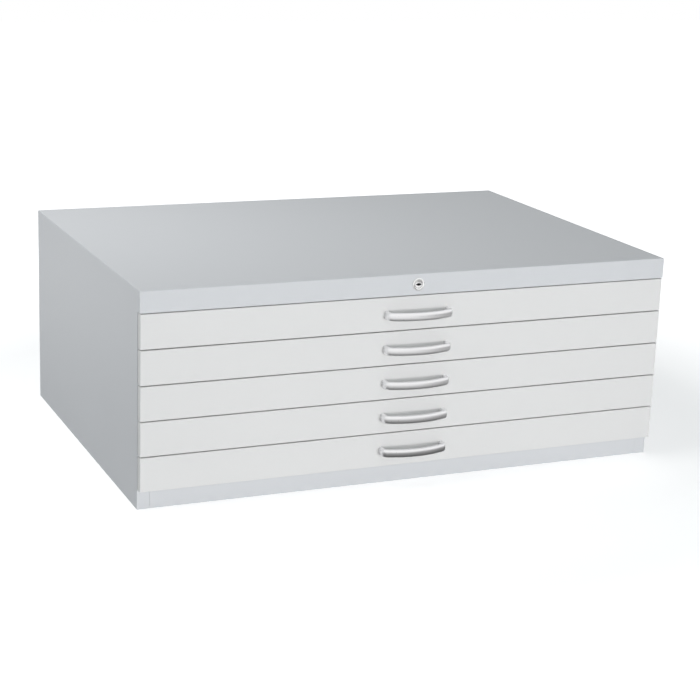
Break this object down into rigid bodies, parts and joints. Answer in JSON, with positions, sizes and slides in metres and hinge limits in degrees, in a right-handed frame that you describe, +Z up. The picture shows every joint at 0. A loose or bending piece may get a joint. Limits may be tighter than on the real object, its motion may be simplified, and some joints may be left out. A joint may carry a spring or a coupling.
{
  "type": "plan chest",
  "caption": "Low steel plan chest for large sheets: shallow full-width drawers on telescopic runners, bow handles, a central lock in the top rail and a recessed plinth.",
  "frame": {"origin": "bottom centre of the whole object's box, handles included, on the floor", "axes": "+X across the width to the right, the front faces -Y, +Z up"},
  "size_m": [1.1, 0.7998, 0.42],
  "materials": {
    "carcass_paint": "satin powder coat, light grey",
    "front_paint": "satin powder coat, paler grey than the carcass",
    "tray_paint": "satin powder coat, light grey",
    "satin_handle": "satin silver",
    "lock_chrome": "polished nickel",
    "plated_steel": "zinc plated, matt",
    "bright_steel": "bright drawn steel"
  },
  "bodies": {
    "root": {"left_side_panel": "carcass_paint", "right_side_panel": "carcass_paint", "top_panel": "carcass_paint", "back_panel": "carcass_paint", "base_panel": "carcass_paint", "plinth_panel": "carcass_paint", "front_left_post": "plated_steel", "front_right_post": "plated_steel", "rear_left_post": "plated_steel", "rear_right_post": "plated_steel", "front_top_channel": "plated_steel", "rear_top_channel": "plated_steel", "bar_guides": "plated_steel", "lock_housing": "lock_chrome", "lock_nut": "plated_steel", "cabinet_runners_1": "plated_steel", "cabinet_runners_2": "plated_steel", "cabinet_runners_3": "plated_steel", "cabinet_runners_4": "plated_steel", "cabinet_runners_5": "plated_steel"},
    "drawer_1": {"drawer_front_1": "front_paint", "front_liner_1": "front_paint", "bow_handle_1": "satin_handle", "drawer_tray_1": "tray_paint", "rear_hood_1": "tray_paint", "drawer_runners_1": "plated_steel"},
    "middle_runner_1": {"middle_runners_1": "plated_steel"},
    "drawer_2": {"drawer_front_2": "front_paint", "front_liner_2": "front_paint", "bow_handle_2": "satin_handle", "drawer_tray_2": "tray_paint", "rear_hood_2": "tray_paint", "drawer_runners_2": "plated_steel"},
    "middle_runner_2": {"middle_runners_2": "plated_steel"},
    "drawer_3": {"drawer_front_3": "front_paint", "front_liner_3": "front_paint", "bow_handle_3": "satin_handle", "drawer_tray_3": "tray_paint", "rear_hood_3": "tray_paint", "drawer_runners_3": "plated_steel"},
    "middle_runner_3": {"middle_runners_3": "plated_steel"},
    "drawer_4": {"drawer_front_4": "front_paint", "front_liner_4": "front_paint", "bow_handle_4": "satin_handle", "drawer_tray_4": "tray_paint", "rear_hood_4": "tray_paint", "drawer_runners_4": "plated_steel"},
    "middle_runner_4": {"middle_runners_4": "plated_steel"},
    "drawer_5": {"drawer_front_5": "front_paint", "front_liner_5": "front_paint", "bow_handle_5": "satin_handle", "drawer_tray_5": "tray_paint", "rear_hood_5": "tray_paint", "drawer_runners_5": "plated_steel"},
    "middle_runner_5": {"middle_runners_5": "plated_steel"},
    "lock": {"lock_plug": "lock_chrome", "lock_shaft": "bright_steel", "lock_crank": "plated_steel"},
    "lock_bar": {"locking_bar": "plated_steel"}
  },
  "joints": [
    {"name": "drawer_1_slide", "type": "slide", "parent": "root", "child": "drawer_1", "axis": [0, -1, 0], "range_m": [0, 0.62]},
    {"name": "middle_runner_1_slide", "type": "slide", "parent": "root", "child": "middle_runner_1", "axis": [0, -1, 0], "range_m": [0, 0.31]},
    {"name": "drawer_2_slide", "type": "slide", "parent": "root", "child": "drawer_2", "axis": [0, -1, 0], "range_m": [0, 0.62]},
    {"name": "middle_runner_2_slide", "type": "slide", "parent": "root", "child": "middle_runner_2", "axis": [0, -1, 0], "range_m": [0, 0.31]},
    {"name": "drawer_3_slide", "type": "slide", "parent": "root", "child": "drawer_3", "axis": [0, -1, 0], "range_m": [0, 0.62]},
    {"name": "middle_runner_3_slide", "type": "slide", "parent": "root", "child": "middle_runner_3", "axis": [0, -1, 0], "range_m": [0, 0.31]},
    {"name": "drawer_4_slide", "type": "slide", "parent": "root", "child": "drawer_4", "axis": [0, -1, 0], "range_m": [0, 0.62]},
    {"name": "middle_runner_4_slide", "type": "slide", "parent": "root", "child": "middle_runner_4", "axis": [0, -1, 0], "range_m": [0, 0.31]},
    {"name": "drawer_5_slide", "type": "slide", "parent": "root", "child": "drawer_5", "axis": [0, -1, 0], "range_m": [0, 0.62]},
    {"name": "middle_runner_5_slide", "type": "slide", "parent": "root", "child": "middle_runner_5", "axis": [0, -1, 0], "range_m": [0, 0.31]},
    {"name": "lock_turn", "type": "hinge", "parent": "root", "child": "lock", "pos_m": [0, -0.36512, 0.3995], "axis": [0, 1, 0], "range_deg": [0, 90]},
    {"name": "lock_bar_lift", "type": "slide", "parent": "root", "child": "lock_bar", "axis": [0, 0, 1], "range_m": [0, 0.009]}
  ],
  "couplings": [
    {"joint": "middle_runner_1_slide", "follows": "drawer_1_slide", "ratio": 0.5},
    {"joint": "middle_runner_2_slide", "follows": "drawer_2_slide", "ratio": 0.5},
    {"joint": "middle_runner_3_slide", "follows": "drawer_3_slide", "ratio": 0.5},
    {"joint": "middle_runner_4_slide", "follows": "drawer_4_slide", "ratio": 0.5},
    {"joint": "middle_runner_5_slide", "follows": "drawer_5_slide", "ratio": 0.5},
    {"joint": "lock_turn", "follows": "lock_bar_lift", "rad_per_m": 174.53}
  ]
}
